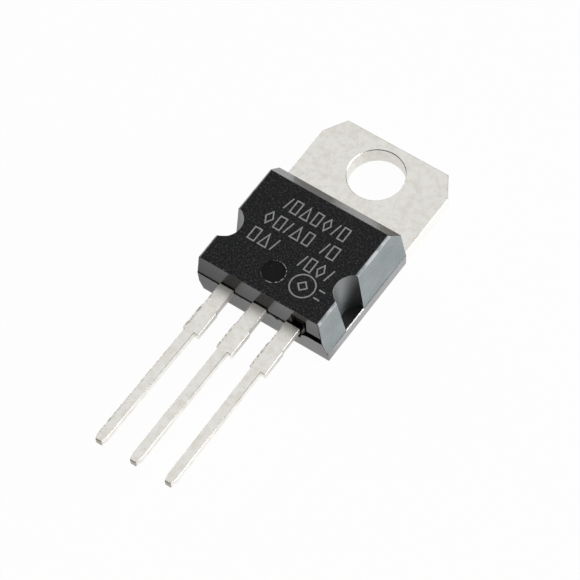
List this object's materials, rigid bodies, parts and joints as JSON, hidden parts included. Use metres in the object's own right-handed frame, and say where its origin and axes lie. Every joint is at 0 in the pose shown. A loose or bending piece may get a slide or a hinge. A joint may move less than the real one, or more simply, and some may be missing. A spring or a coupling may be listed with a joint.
{
  "type": "voltage regulator",
  "caption": "Linear voltage regulator in a moulded power package with in-line leads, side notches and a metal screw tab.",
  "frame": {"origin": "middle of the screw hole, in the plane of the metal back that the part lies on", "axes": "+Z out of the metal back through the thickness, +Y along the leads towards the free end of the tab, +X across the tab towards the output lead"},
  "size_m": [0.01, 0.0286, 0.0045],
  "materials": {
    "tinned_frame": "satin tin plate on copper",
    "tinned_lead": "satin tin plate on copper",
    "moulding": "black epoxy moulding compound, eroded top, smooth drafted sides",
    "silicon": "polished grey silicon",
    "solder": "dull grey solder",
    "bond_wire": "plain drawn wire"
  },
  "bodies": {
    "root": {"heat_tab": "tinned_frame", "input_lead": "tinned_lead", "output_lead": "tinned_lead", "body": "moulding", "die": "silicon", "die_attach": "solder", "input_wire": "bond_wire", "ground_wire": "bond_wire", "output_wire": "bond_wire"}
  },
  "joints": []
}
